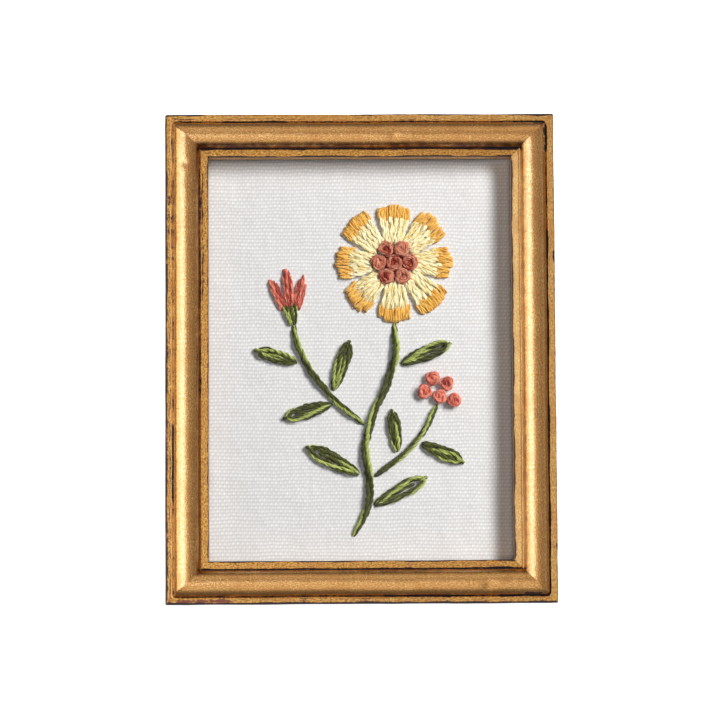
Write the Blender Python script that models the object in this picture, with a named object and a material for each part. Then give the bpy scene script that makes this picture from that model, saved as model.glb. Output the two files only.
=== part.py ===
"""Small framed embroidery: four mitred gilt rails around a stitched linen panel.

The piece lies on its back. +X is the picture's right, +Y is its top and +Z leaves its face.
The origin is at the middle of the rails' back faces, on the surface that they rest on.
"""

import math

import bmesh
import bpy
from mathutils import Vector

MM = 0.001

# Driving dimensions, in millimetres
FRAME_WIDTH = 136.0
FRAME_HEIGHT = 171.0
RAIL_WIDTH = 15.0
CLEARANCE = 0.3

# Rail section: distances run inward from the outer side, heights run up from the back
OUTER_FILLET_HEIGHT = 16.0
OUTER_FILLET_WIDTH = 2.5
GROOVE_WIDTH = 0.4
GROOVE_DEPTH = 0.5
BEAD_WIDTH = 9.0
BEAD_RISE = 4.0
BEAD_STEPS = 12
INNER_FILLET_HEIGHT = 15.6
EDGE_ROUNDING = 0.3
RABBET_WIDTH = 5.0
RABBET_DEPTH = 8.1

# Panel behind the rails' lips, from the face down
PANEL_INSET = RAIL_WIDTH - RABBET_WIDTH + CLEARANCE
LINEN_THICKNESS = 1.0
MOUNT_BOARD_THICKNESS = 3.0
BACKING_THICKNESS = 2.6

# Needlework, raised a little above the linen
STITCH_BASE = RABBET_DEPTH
PETAL_HEIGHT = 1.6
LEAF_HEIGHT = 1.5
STEM_HEIGHT = 1.6
KNOT_HEIGHT = 2.6
TIP_HALF_WIDTH = 0.35

BLOOM_CENTRE = (12.0, 34.0)
PETAL_COUNT = 8
PETAL_START = 8.6
PETAL_BASE_HALF_WIDTH = 2.9
PETAL_SHOULDER = 0.6
# One row for each petal: outer radius, half width
PETALS = (
    (21.2, 5.5),
    (22.3, 5.8),
    (20.9, 5.4),
    (21.8, 5.7),
    (21.0, 5.6),
    (22.1, 5.5),
    (21.1, 5.7),
    (21.6, 5.4),
)

CENTRE_KNOT_RADIUS = 2.65
CENTRE_KNOT_RING = 5.6
CENTRE_KNOT_COUNT = 6
BERRY_RADIUS = 2.4

# Stems: name, half width, route from root to tip
STEMS = (
    ("stem_main", 1.6, ((-3.0, -62.0), (1.5, -54.0), (3.2, -44.0), (1.6, -32.0), (4.2, -20.0),
                        (9.6, -8.0), (12.4, 2.5), (11.9, 11.8))),
    ("stem_bud", 1.3, ((0.6, -22.4), (-7.5, -15.8), (-16.0, -6.0), (-21.6, 4.0), (-23.4, 11.6))),
    ("stem_berries", 1.2, ((5.6, -40.4), (13.6, -34.6), (21.4, -26.4), (26.2, -17.0))),
)

# Leaves: base x, base y, direction in degrees, length, half width
LEAVES = (
    (-10.2, -15.8, 196.0, 17.0, 3.2),
    (-9.4, -10.6, 72.0, 17.5, 3.1),
    (14.6, -1.4, 22.0, 18.0, 3.3),
    (-0.9, -40.2, 152.0, 20.0, 3.5),
    (4.9, -51.0, 28.0, 20.0, 3.5),
    (12.8, -32.2, 97.0, 14.0, 2.8),
    (21.5, -29.8, -24.0, 15.5, 3.0),
    (-22.6, -1.0, 163.0, 14.5, 2.9),
)

# Bud petals: base x, base y, direction in degrees, length, half width
BUD_PETALS = (
    (-27.0, 18.2, 113.0, 11.5, 1.8),
    (-24.6, 18.9, 96.0, 14.0, 1.8),
    (-22.1, 18.4, 79.0, 11.5, 1.8),
)
BUD_CUP = (-23.7, 12.3, 99.0, 5.6, 3.0)

# Berries: centre x and y
BERRIES = (
    (27.6, -13.2),
    (32.7, -14.6),
    (22.4, -11.6),
    (30.2, -8.6),
    (25.2, -6.8),
)

# Colours as sRGB hex, with roughness and metallic value
FINISHES = {
    "gilt": ("C8904E", 0.35, 0.9),
    "linen": ("E6E1DC", 0.9, 0.0),
    "board": ("D6D0C4", 0.85, 0.0),
    "backing": ("8C7258", 0.8, 0.0),
    "yellow_yarn": ("F0D98A", 0.85, 0.0),
    "terracotta_yarn": ("C86E55", 0.85, 0.0),
    "green_yarn": ("6B7630", 0.85, 0.0),
    "coral_yarn": ("D75F46", 0.85, 0.0),
}


def linear(hex_colour):
    """Turn an sRGB hex colour into the linear values that a material takes."""
    channels = [int(hex_colour[i:i + 2], 16) / 255.0 for i in (0, 2, 4)]
    return [c / 12.92 if c <= 0.04045 else ((c + 0.055) / 1.055) ** 2.4 for c in channels] + [1.0]


def finish(name):
    """Return the named material, made on first use."""
    found = bpy.data.materials.get(name)
    if found:
        return found
    colour, roughness, metallic = FINISHES[name]
    material = bpy.data.materials.new(name)
    material.use_nodes = True
    shader = material.node_tree.nodes["Principled BSDF"]
    shader.inputs["Base Color"].default_value = linear(colour)
    shader.inputs["Roughness"].default_value = roughness
    shader.inputs["Metallic"].default_value = metallic
    return material


def add_object(name, bm, finish_name, location=(0.0, 0.0, 0.0), turn=0.0):
    """Make one object from a mesh built in millimetres."""
    bmesh.ops.scale(bm, vec=(MM, MM, MM), verts=bm.verts)
    bmesh.ops.recalc_face_normals(bm, faces=bm.faces)
    mesh = bpy.data.meshes.new(name)
    bm.to_mesh(mesh)
    bm.free()
    mesh.shade_smooth()
    mesh.set_sharp_from_angle(angle=math.radians(35.0))
    mesh.materials.append(finish(finish_name))
    item = bpy.data.objects.new(name, mesh)
    item.location = [v * MM for v in location]
    item.rotation_euler[2] = turn
    bpy.context.scene.collection.objects.link(item)
    return item


def skin_sections(bm, sections):
    """Join equal rings of points into a closed solid with a flat face at each end."""
    rings = [[bm.verts.new(point) for point in section] for section in sections]
    for ring, following in zip(rings, rings[1:]):
        count = len(ring)
        for i in range(count):
            j = (i + 1) % count
            bm.faces.new((ring[i], ring[j], following[j], following[i]))
    bm.faces.new(rings[0])
    bm.faces.new(rings[-1])


def rail_profile():
    """Outline of the moulding as (distance inward, height), once round from the back's outer corner."""
    groove_floor = INNER_FILLET_HEIGHT - GROOVE_DEPTH
    bead_start = OUTER_FILLET_WIDTH + GROOVE_WIDTH
    bead_middle = bead_start + BEAD_WIDTH / 2.0
    bead_end = bead_start + BEAD_WIDTH
    profile = [
        (0.0, 0.0),
        (0.0, OUTER_FILLET_HEIGHT - EDGE_ROUNDING),
        (EDGE_ROUNDING, OUTER_FILLET_HEIGHT),
        (OUTER_FILLET_WIDTH, OUTER_FILLET_HEIGHT),
        (OUTER_FILLET_WIDTH + GROOVE_WIDTH / 2.0, groove_floor),
    ]
    for step in range(BEAD_STEPS + 1):
        angle = math.pi * (1.0 - step / BEAD_STEPS)
        profile.append((bead_middle + BEAD_WIDTH / 2.0 * math.cos(angle),
                        INNER_FILLET_HEIGHT + BEAD_RISE * math.sin(angle)))
    profile += [
        (bead_end + GROOVE_WIDTH / 2.0, groove_floor),
        (bead_end + GROOVE_WIDTH, INNER_FILLET_HEIGHT),
        (RAIL_WIDTH - EDGE_ROUNDING, INNER_FILLET_HEIGHT),
        (RAIL_WIDTH, INNER_FILLET_HEIGHT - EDGE_ROUNDING),
        (RAIL_WIDTH, RABBET_DEPTH),
        (RAIL_WIDTH - RABBET_WIDTH, RABBET_DEPTH),
        (RAIL_WIDTH - RABBET_WIDTH, 0.0),
    ]
    return profile


def add_rail(name, length, location, turn):
    """One rail, its ends cut at 45 degrees a little short of its neighbours."""
    mitre_setback = CLEARANCE / 2.0 * math.sqrt(2.0)
    profile = rail_profile()
    bm = bmesh.new()
    skin_sections(bm, [
        [(side * (length / 2.0 - inward - mitre_setback), inward, height) for inward, height in profile]
        for side in (-1.0, 1.0)
    ])
    add_object(name, bm, "gilt", location, turn)


def add_frame():
    half_width = FRAME_WIDTH / 2.0
    half_height = FRAME_HEIGHT / 2.0
    quarter = math.pi / 2.0
    add_rail("rail_bottom", FRAME_WIDTH, (0.0, -half_height, 0.0), 0.0)
    add_rail("rail_right", FRAME_HEIGHT, (half_width, 0.0, 0.0), quarter)
    add_rail("rail_top", FRAME_WIDTH, (0.0, half_height, 0.0), 2.0 * quarter)
    add_rail("rail_left", FRAME_HEIGHT, (-half_width, 0.0, 0.0), -quarter)


def add_panel(name, top, thickness, finish_name):
    """A flat rectangle that fills the rabbet, less its clearance."""
    half_width = FRAME_WIDTH / 2.0 - PANEL_INSET
    half_height = FRAME_HEIGHT / 2.0 - PANEL_INSET
    corners = ((-half_width, -half_height), (half_width, -half_height),
               (half_width, half_height), (-half_width, half_height))
    bm = bmesh.new()
    skin_sections(bm, [[(x, y, z) for x, y in corners] for z in (top - thickness, top)])
    add_object(name, bm, finish_name)


def add_panels():
    linen_top = RABBET_DEPTH - CLEARANCE
    board_top = linen_top - LINEN_THICKNESS - CLEARANCE
    backing_top = board_top - MOUNT_BOARD_THICKNESS - CLEARANCE
    add_panel("linen", linen_top, LINEN_THICKNESS, "linen")
    add_panel("mount_board", board_top, MOUNT_BOARD_THICKNESS, "board")
    add_panel("backing_board", backing_top, BACKING_THICKNESS, "backing")


def relief_section(point, direction, half_width, height):
    """Low arched section across a run of stitches, square to its direction."""
    across = Vector((-direction.y, direction.x))
    shape = ((-1.0, 0.0), (-1.0, 0.5), (-0.55, 1.0), (0.55, 1.0), (1.0, 0.5), (1.0, 0.0))
    section = []
    for side, rise in shape:
        spot = point + across * (half_width * side)
        section.append((spot.x, spot.y, STITCH_BASE + height * rise))
    return section


def add_relief(name, spine, half_widths, height, finish_name):
    """A raised band along a spine, with its own half width at each point."""
    sections = []
    last = len(spine) - 1
    for i, half_width in enumerate(half_widths):
        direction = (spine[min(i + 1, last)] - spine[max(i - 1, 0)]).normalized()
        end_scale = 0.6 if i in (0, last) else 1.0
        sections.append(relief_section(spine[i], direction, half_width, height * end_scale))
    bm = bmesh.new()
    skin_sections(bm, sections)
    add_object(name, bm, finish_name)


def straight_spine(start, degrees, length, steps):
    direction = Vector((math.cos(math.radians(degrees)), math.sin(math.radians(degrees))))
    return [Vector(start) + direction * (length * i / steps) for i in range(steps + 1)]


def smooth_route(points, steps_between):
    """Catmull-Rom curve through the points of a route."""
    knots = [Vector(p) for p in points]
    knots = [knots[0] * 2.0 - knots[1]] + knots + [knots[-1] * 2.0 - knots[-2]]
    curve = []
    for a, b, c, d in zip(knots, knots[1:], knots[2:], knots[3:]):
        for i in range(steps_between):
            t = i / steps_between
            curve.append(0.5 * (2.0 * b + (c - a) * t + (2.0 * a - 5.0 * b + 4.0 * c - d) * t * t
                                + (3.0 * b - a - 3.0 * c + d) * t ** 3))
    curve.append(knots[-2])
    return curve


def rounded_half_width(t, base, widest):
    """Straight flanks up to the shoulder, then a rounded tip."""
    if t < PETAL_SHOULDER:
        return base + (widest - base) * t / PETAL_SHOULDER
    over = (t - PETAL_SHOULDER) / (1.0 - PETAL_SHOULDER)
    return max(widest * math.sqrt(max(0.0, 1.0 - over * over)), TIP_HALF_WIDTH)


def lance_half_width(t, widest):
    """Pointed at both ends and widest at the middle."""
    return max(widest * math.sin(math.pi * t) ** 0.8, TIP_HALF_WIDTH)


def add_bloom():
    steps = 10
    centre = Vector(BLOOM_CENTRE)
    for number, (outer_radius, widest) in enumerate(PETALS):
        degrees = 270.0 + 360.0 * number / PETAL_COUNT
        outward = Vector((math.cos(math.radians(degrees)), math.sin(math.radians(degrees))))
        spine = straight_spine(centre + outward * PETAL_START, degrees, outer_radius - PETAL_START, steps)
        widths = [rounded_half_width(i / steps, PETAL_BASE_HALF_WIDTH, widest) for i in range(steps + 1)]
        add_relief(f"petal_{number + 1}", spine, widths, PETAL_HEIGHT, "yellow_yarn")
    add_knot("centre_knot_1", centre, CENTRE_KNOT_RADIUS, "terracotta_yarn")
    for number in range(CENTRE_KNOT_COUNT):
        angle = 2.0 * math.pi * number / CENTRE_KNOT_COUNT
        spot = centre + Vector((math.cos(angle), math.sin(angle))) * CENTRE_KNOT_RING
        add_knot(f"centre_knot_{number + 2}", spot, CENTRE_KNOT_RADIUS, "terracotta_yarn")


def add_knot(name, centre, radius, finish_name):
    """A French knot: a low round button, widest below its middle."""
    sides = 12
    # Each ring as a share of the radius and of the height
    rings = ((0.85, 0.0), (1.0, 0.35), (0.8, 0.78), (0.35, 1.0))
    bm = bmesh.new()
    skin_sections(bm, [
        [(centre[0] + radius * share * math.cos(2.0 * math.pi * i / sides),
          centre[1] + radius * share * math.sin(2.0 * math.pi * i / sides),
          STITCH_BASE + KNOT_HEIGHT * rise) for i in range(sides)]
        for share, rise in rings
    ])
    add_object(name, bm, finish_name)


def add_stems():
    for name, half_width, route in STEMS:
        spine = smooth_route(route, 4)
        last = len(spine) - 1
        widths = [half_width * (0.7 if i in (0, last) else 1.0) for i in range(last + 1)]
        add_relief(name, spine, widths, STEM_HEIGHT, "green_yarn")


def add_leaves():
    steps = 8
    for number, (x, y, degrees, length, widest) in enumerate(LEAVES):
        spine = straight_spine((x, y), degrees, length, steps)
        widths = [lance_half_width(i / steps, widest) for i in range(steps + 1)]
        add_relief(f"leaf_{number + 1}", spine, widths, LEAF_HEIGHT, "green_yarn")


def add_bud():
    steps = 8
    for number, (x, y, degrees, length, widest) in enumerate(BUD_PETALS):
        spine = straight_spine((x, y), degrees, length, steps)
        widths = [rounded_half_width(i / steps, widest * 0.6, widest) for i in range(steps + 1)]
        add_relief(f"bud_petal_{number + 1}", spine, widths, PETAL_HEIGHT, "coral_yarn")
    x, y, degrees, length, widest = BUD_CUP
    cup_steps = 4
    spine = straight_spine((x, y), degrees, length, cup_steps)
    widths = [widest * (0.4 + 0.6 * math.sin(math.pi / 2.0 * i / cup_steps)) for i in range(cup_steps + 1)]
    add_relief("bud_cup", spine, widths, LEAF_HEIGHT, "green_yarn")


def add_berries():
    for number, spot in enumerate(BERRIES):
        add_knot(f"berry_{number + 1}", spot, BERRY_RADIUS, "coral_yarn")


def main():
    for item in list(bpy.data.objects):
        bpy.data.objects.remove(item, do_unlink=True)
    add_frame()
    add_panels()
    add_bloom()
    add_stems()
    add_leaves()
    add_bud()
    add_berries()


main()
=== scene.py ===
"""Looks of a small framed embroidery: a distressed gilt moulding round a linen panel worked in wool.

The picture lies on its back on a pale floor. +X is its right, +Y its top, +Z leaves its face.
Sizes are in millimetres until a mesh is made, which is in metres.
"""

import math
import random
from functools import partial

import bmesh
import bpy
import numpy as np
from mathutils import Matrix, Vector


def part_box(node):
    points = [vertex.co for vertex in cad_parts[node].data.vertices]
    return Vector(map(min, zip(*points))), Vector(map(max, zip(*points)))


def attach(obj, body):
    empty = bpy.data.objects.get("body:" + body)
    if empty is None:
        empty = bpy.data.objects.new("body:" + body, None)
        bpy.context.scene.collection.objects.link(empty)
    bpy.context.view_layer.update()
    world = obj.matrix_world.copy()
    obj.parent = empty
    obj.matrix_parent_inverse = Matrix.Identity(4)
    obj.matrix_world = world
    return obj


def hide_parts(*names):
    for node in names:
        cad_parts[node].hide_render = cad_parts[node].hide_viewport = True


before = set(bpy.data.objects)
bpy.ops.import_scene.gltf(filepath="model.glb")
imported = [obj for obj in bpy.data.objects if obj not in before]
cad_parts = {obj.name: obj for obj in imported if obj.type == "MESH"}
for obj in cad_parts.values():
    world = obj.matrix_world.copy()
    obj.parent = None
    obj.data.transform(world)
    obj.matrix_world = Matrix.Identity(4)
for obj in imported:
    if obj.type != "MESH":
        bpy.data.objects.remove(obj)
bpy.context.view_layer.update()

MM = 0.001

# Kinds of node that come up most
MATH = "ShaderNodeMath"
VECTOR_MATH = "ShaderNodeVectorMath"
MAP_RANGE = "ShaderNodeMapRange"
NOISE = "ShaderNodeTexNoise"
MIX = "ShaderNodeMix"
COORDINATES = "ShaderNodeTexCoord"
MAPPING = "ShaderNodeMapping"
COMBINE = "ShaderNodeCombineXYZ"
BUMP = "ShaderNodeBump"
SHADER = "ShaderNodeBsdfPrincipled"
OUTPUT = "ShaderNodeOutputMaterial"
READ = "GeometryNodeInputNamedAttribute"
STORE = "GeometryNodeStoreNamedAttribute"

# Kinds of input that a Geometry Nodes tree takes
NUMBER = "NodeSocketFloat"
FINISH = "NodeSocketMaterial"

# Settings of a Math node for each sum, and of a Mix node that mixes colours. Inputs that share a name go by
# number: 2 and 3 are a Mix node's two numbers, 6 and 7 its two colours.
PLUS = {"operation": "ADD"}
MINUS = {"operation": "SUBTRACT"}
TIMES = {"operation": "MULTIPLY"}
OVER = {"operation": "DIVIDE"}
TIMES_PLUS = {"operation": "MULTIPLY_ADD"}
RGBA = {"out": 2, "data_type": "RGBA"}

# Frame section, as in the solids: distances run inward from the outer side, heights up from the back
FRAME_WIDTH = 136.0
FRAME_HEIGHT = 171.0
RAIL_WIDTH = 15.0
OUTER_FILLET_TOP = 16.0
OUTER_FILLET_WIDTH = 2.5
GROOVE_WIDTH = 0.4
GROOVE_DEPTH = 0.5
BEAD_WIDTH = 9.0
BEAD_RISE = 4.0
INNER_FILLET_TOP = 15.6
ARRIS = 0.3
RABBET_WIDTH = 5.0
RABBET_DEPTH = 8.1
BEAD_MIDDLE = OUTER_FILLET_WIDTH + GROOVE_WIDTH + BEAD_WIDTH / 2.0
BEAD_END = BEAD_MIDDLE + BEAD_WIDTH / 2.0
# Mesh columns for each millimetre of half a rail, and how far its hand-worked waves stand out
COLUMNS_A_MM = 3.4
UNEVENNESS = 0.45

# The linen's lowest and highest corner, read from its solid in metres
LINEN_LOW, LINEN_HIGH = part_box("linen")

# Weave of the ground: pitch of the upright warp and of the level weft, and how far threads stand up
WARP_PITCH = 0.78
WEFT_PITCH = 1.25
WEAVE_RELIEF = 0.24

# Needlework, as in the solids
STITCH_BASE = 8.1
BLOOM_CENTRE = Vector((12.0, 34.0))
PETAL_START = 8.6
# Outer radius and half width of each petal, anticlockwise from the bottom
PETALS = ((21.2, 5.5), (22.3, 5.8), (20.9, 5.4), (21.8, 5.7),
          (21.0, 5.6), (22.1, 5.5), (21.1, 5.7), (21.6, 5.4))
CENTRE_KNOT_RADIUS = 2.65
CENTRE_KNOT_RING = 5.6
CENTRE_KNOT_COUNT = 6
BERRY_RADIUS = 2.4
# Half width and route of each stem
STEMS = {
    "stem_main": (1.6, ((-3.0, -62.0), (1.5, -54.0), (3.2, -44.0), (1.6, -32.0),
                        (4.2, -20.0), (9.6, -8.0), (12.4, 2.5), (11.9, 12.9))),
    "stem_bud": (1.3, ((1.4, -23.0), (-7.5, -15.8), (-16.0, -6.0), (-21.6, 4.0), (-23.5, 12.6))),
    "stem_berries": (1.2, ((4.8, -41.0), (13.6, -34.6), (21.4, -26.4), (26.8, -16.0))),
}
# Foot x and y, direction in degrees, length, half width
LEAVES = (
    (-10.2, -15.8, 196.0, 17.0, 3.2), (-9.4, -10.6, 72.0, 17.5, 3.1),
    (14.6, -1.4, 22.0, 18.0, 3.3), (-0.9, -40.2, 152.0, 20.0, 3.5),
    (4.9, -51.0, 28.0, 20.0, 3.5), (12.8, -32.2, 97.0, 14.0, 2.8),
    (21.5, -29.8, -24.0, 15.5, 3.0), (-22.6, -1.0, 163.0, 14.5, 2.9),
)
BUD_PETALS = ((-27.0, 18.2, 113.0, 11.5, 1.8), (-24.6, 18.9, 96.0, 14.0, 1.8),
              (-22.1, 18.4, 79.0, 11.5, 1.8))
BUD_CUP = (-23.7, 12.3, 99.0, 5.6, 3.0)
BERRIES = ((27.6, -13.2), (32.7, -14.6), (22.4, -11.6), (30.2, -8.6), (25.2, -6.8))


def linear(hex_colour):
    """Linear RGBA of an sRGB hex colour."""
    channels = [int(hex_colour[i:i + 2], 16) / 255.0 for i in (0, 2, 4)]
    return tuple(c / 12.92 if c <= 0.04045 else ((c + 0.055) / 1.055) ** 2.4 for c in channels) + (1.0,)


def add_node(tree, kind, *inputs, out=0, **settings):
    """Add one node with its settings and its inputs, and give back one of its outputs.

    Inputs are values or sockets to link, in the node's own order, and then a dict of those that go by name
    or number.
    """
    made = tree.nodes.new(kind)
    for name, value in settings.items():
        setattr(made, name, value)
    given = {}
    for place, value in enumerate(inputs):
        given.update(value if isinstance(value, dict) else {place: value})
    for key, value in given.items():
        if isinstance(value, bpy.types.NodeSocket):
            tree.links.new(value, made.inputs[key])
        else:
            made.inputs[key].default_value = value
    return made.outputs[out] if len(made.outputs) else made


def start_material(name):
    """An empty node material and the call that adds nodes to it."""
    material = bpy.data.materials.new(name)
    material.use_nodes = True
    material.node_tree.nodes.clear()
    return material, partial(add_node, material.node_tree)


# Stage, light and camera

def studio_white():
    """White paper sweep, lit a little from within so that it stays white under the picture."""
    material, add = start_material("white paper sweep")
    shader = add(SHADER, {
        "Base Color": linear("FAFAFA"), "Roughness": 0.9,
        "Emission Color": linear("FFFFFF"), "Emission Strength": 0.95})
    add(OUTPUT, {"Surface": shader})
    return material


def add_floor():
    """The white paper that the picture lies on."""
    mesh = bpy.data.meshes.new("paper_floor")
    half = 2.5
    mesh.from_pydata([(-half, -half, 0.0), (half, -half, 0.0), (half, half, 0.0), (-half, half, 0.0)],
                     [], [(0, 1, 2, 3)])
    floor = bpy.data.objects.new("paper_floor", mesh)
    bpy.context.scene.collection.objects.link(floor)
    mesh.materials.append(studio_white())
    # Its glare would draw bright lines along the foot of the bead
    floor.visible_glossy = False


def look_from(azimuth, elevation, distance):
    """Place of something seen from the picture's middle, azimuth anticlockwise from +X, in degrees."""
    around, up = math.radians(azimuth), math.radians(elevation)
    level = math.cos(up)
    return Vector((level * math.cos(around), level * math.sin(around), math.sin(up))) * distance


def add_panel_light(name, place, size, radiance, colour, glossy, diffuse):
    """A rectangular softbox at place, facing the picture, whose power follows from its face's radiance."""
    data = bpy.data.lights.new(name, "AREA")
    data.color = colour
    data.shape = "RECTANGLE"
    data.size, data.size_y = size
    watts_a_square_metre = radiance * 4.0
    data.energy = watts_a_square_metre * size[0] * size[1]
    light = bpy.data.objects.new(name, data)
    light.matrix_world = Matrix.Translation(place) @ place.to_track_quat("Z", "Y").to_matrix().to_4x4()
    light.visible_camera = False
    light.visible_glossy = glossy
    light.visible_diffuse = diffuse
    bpy.context.scene.collection.objects.link(light)


def add_surroundings():
    """A warm room, bright overhead and dim near the table, which the gilding mirrors and no cloth sees."""
    world = bpy.data.worlds.new("warm surroundings")
    world.use_nodes = True
    world.node_tree.nodes.clear()
    add = partial(add_node, world.node_tree)
    height = add("ShaderNodeSeparateXYZ", add(COORDINATES, out="Generated"), out="Z")
    strength = add(MAP_RANGE, height, 0.0, 1.0, 0.2, 0.5)
    glow = add("ShaderNodeBackground", {"Color": (1.0, 0.86, 0.78, 1.0), "Strength": strength})
    add("ShaderNodeOutputWorld", {"Surface": glow})
    world.cycles_visibility.diffuse = False
    bpy.context.scene.world = world
    bpy.context.scene.view_settings.view_transform = "Standard"


def add_light():
    """Softboxes that the gilding mirrors, and a soft fill and a hard key that light the colours."""
    cream, day, warm, cool = (1.0, 1.2, 1.75), (1.0, 1.08, 1.15), (1.0, 0.9, 0.8), (1.0, 1.02, 1.04)
    add_panel_light("left softbox", look_from(178.0, 55.0, 1.2), (0.65, 1.02), 1.42, cream, True, False)
    add_panel_light("left low glow", look_from(178.0, 14.0, 1.2), (0.8, 0.6), 1.4, warm, True, False)
    add_panel_light("right low glow", look_from(0.0, 8.0, 1.2), (1.3, 0.4), 0.22, warm, True, False)
    add_panel_light("top glow", look_from(90.0, 38.0, 1.2), (1.6, 0.9), 0.25, warm, True, False)
    add_panel_light("overhead strip", look_from(-90.0, 62.0, 1.2), (0.4, 1.5), 0.46, warm, True, False)
    add_panel_light("overhead fill", look_from(-100.0, 84.0, 1.4), (0.7, 0.7), 1.8, day, False, True)
    add_panel_light("right key", look_from(30.0, 43.0, 1.6), (1.0, 0.42), 20.6, cool, False, True)


def add_camera():
    """The photograph's view: about a metre off, a little below the middle and left of it."""
    distance, lens = 1.0, 143.1
    tilt, yaw, roll = math.radians(4.43), math.radians(-1.0), math.radians(-0.32)
    target = Vector((-0.21, -0.55, 12.0)) * MM
    back = Vector((math.sin(yaw) * math.cos(tilt), -math.sin(tilt), math.cos(yaw) * math.cos(tilt)))
    back.normalize()
    right = Vector((0.0, 1.0, 0.0)).cross(back).normalized()
    up = back.cross(right)
    turned_right = right * math.cos(roll) + up * math.sin(roll)
    turned_up = up * math.cos(roll) - right * math.sin(roll)
    data = bpy.data.cameras.new("camera")
    data.lens = lens
    data.sensor_width = 36.0
    data.clip_start, data.clip_end = 0.05, 10.0
    camera = bpy.data.objects.new("camera", data)
    axes = Matrix((turned_right, turned_up, back)).transposed().to_4x4()
    camera.matrix_world = Matrix.Translation(target + back * distance) @ axes
    bpy.context.scene.collection.objects.link(camera)
    bpy.context.scene.camera = camera


# Materials

def gilding():
    """Gold leaf over dark red clay, burnished on the bead, rubbed through to clay and black.

    Rubbed places, painted shade along the bead's feet, grooves and inner arris, and painted highlight on
    some fillets are set in the mesh's own attributes.
    """
    material, add = start_material("gold leaf over red clay, distressed")
    place = add(COORDINATES, out="Object")
    lines = add("ShaderNodeUVMap", uv_map="along_across")
    rub_and_shade, clay, burnish, wax_and_shade, pale = [
        add("ShaderNodeAttribute", out="Fac", attribute_name=name)
        for name in ("rub_and_shade", "clay", "burnish", "wax_and_shade", "pale")]

    # Grit of half a millimetre, drawn out along the rail, and blotches of 3 mm break the wear up
    drawn_out = add(MAPPING, {"Vector": lines, "Scale": (0.4, 1.0, 1.0)})
    grit = add(NOISE, {"Vector": drawn_out, "Scale": 1900.0, "Detail": 4.0, "Roughness": 0.65})
    blotch = add(NOISE, {"Vector": place, "Scale": 330.0, "Detail": 3.0})
    broken = add(MAP_RANGE, add(MIX, 0.45, {2: grit, 3: blotch}), 0.3, 0.7, 0.2, 0.8)
    # rub_and_shade is real rubbing plus painted shade along the inner arris and grooves; both turn the leaf
    # to clay and black
    wear_and_shade = add(MATH, rub_and_shade, broken, **PLUS)
    clay_wear = add(MATH, clay, broken, **PLUS)
    to_clay = add(MATH, add(MAP_RANGE, wear_and_shade, 0.9, 1.0), add(MAP_RANGE, clay_wear, 0.98, 1.08),
                  operation="MAXIMUM")
    to_black = add(MAP_RANGE, wear_and_shade, 0.98, 1.08)

    # The flat fillets are duller and more orange, and pale in painted bands: painted highlight on the right
    # rail's fillets and the left rail's outer fillet, paler patches elsewhere. The bead is burnished and
    # yellower.
    fine = add(MAPPING, {"Vector": lines, "Scale": (0.55, 1.0, 1.0)})
    mottle = add(NOISE, {"Vector": fine, "Scale": 2100.0, "Detail": 5.0, "Roughness": 0.7})
    patch = add(NOISE, {"Vector": place, "Scale": 140.0, "Detail": 3.0})
    speck = add(MAP_RANGE, mottle, 0.42, 0.58)
    dull = add(MIX, speck, {6: linear("A26422"), 7: linear("FCC964")}, **RGBA)
    bright = add(MIX, speck, {6: linear("D09A50"), 7: linear("F4CA86")}, **RGBA)
    # Colour of the painted highlight where pale is set
    highlight_leaf = add(MIX, speck, {6: linear("F6B864"), 7: linear("FFE89C")}, **RGBA)
    dull = add(MIX, pale, {6: dull, 7: highlight_leaf}, **RGBA)
    leaf = add(MIX, burnish, {6: dull, 7: bright}, **RGBA)
    warm = add(MAP_RANGE, patch, 0.35, 0.7, 0.0, 0.45)
    leaf = add(MIX, warm, {6: leaf, 7: linear("C98A48")}, **RGBA)
    # Antique wax in the hollows along the bead's feet, darkened further with painted shade
    waxed_and_shaded = add(MATH, wax_and_shade, add(MAP_RANGE, blotch, 0.3, 0.7, 0.35, 0.85), **TIMES)
    leaf = add(MIX, waxed_and_shaded, {6: leaf, 7: linear("6A3E20")}, **RGBA)
    under = add(MIX, to_black, {6: linear("7A3B24"), 7: linear("1C100C")}, **RGBA)
    colour = add(MIX, to_clay, {6: leaf, 7: under}, **RGBA)

    rough = add(MAP_RANGE, burnish, 0.0, 1.0, 0.36, 0.13)
    rough = add(MATH, mottle, 0.22, rough, **TIMES_PLUS)
    rough = add(MIX, to_clay, {2: rough, 3: 0.75})
    metal = add(MATH, 1.0, to_clay, **MINUS)

    # Brush drag of a quarter millimetre along the rail, and the mottle of the ground under the leaf
    brushed = add(MAPPING, {"Vector": lines, "Scale": (0.07, 1.0, 1.0)})
    drag = add(NOISE, {"Vector": brushed, "Scale": 3600.0, "Detail": 3.0})
    relief = add(MATH, drag, 0.6, mottle, **TIMES_PLUS)
    relief = add(MATH, relief, to_clay, **MINUS)
    bump = add(BUMP, {"Strength": 0.42, "Distance": 0.00013, "Height": relief})
    shader = add(SHADER, {
        "Base Color": colour, "Metallic": metal, "Roughness": rough,
        "Coat Weight": 0.5, "Coat Roughness": 0.15, "Normal": bump})
    add(OUTPUT, {"Surface": shader})
    return material


def black_paint():
    """Matt black paint brushed round the frame's sides, thin enough in streaks to show the clay."""
    material, add = start_material("matt black paint on wood")
    place = add(COORDINATES, out="Object")
    brushed = add(MAPPING, {"Vector": place, "Scale": (1.0, 1.0, 6.0)})
    streak = add(NOISE, {"Vector": brushed, "Scale": 260.0, "Detail": 5.0, "Roughness": 0.6})
    thin = add(MAP_RANGE, streak, 0.52, 0.72, 0.0, 0.55)
    colour = add(MIX, thin, {6: linear("1B1512"), 7: linear("4A2A1C")}, **RGBA)
    bump = add(BUMP, {"Strength": 0.4, "Distance": 0.0001, "Height": streak})
    shader = add(SHADER, {"Base Color": colour, "Roughness": 0.55, "Normal": bump})
    add(OUTPUT, {"Surface": shader})
    return material


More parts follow.
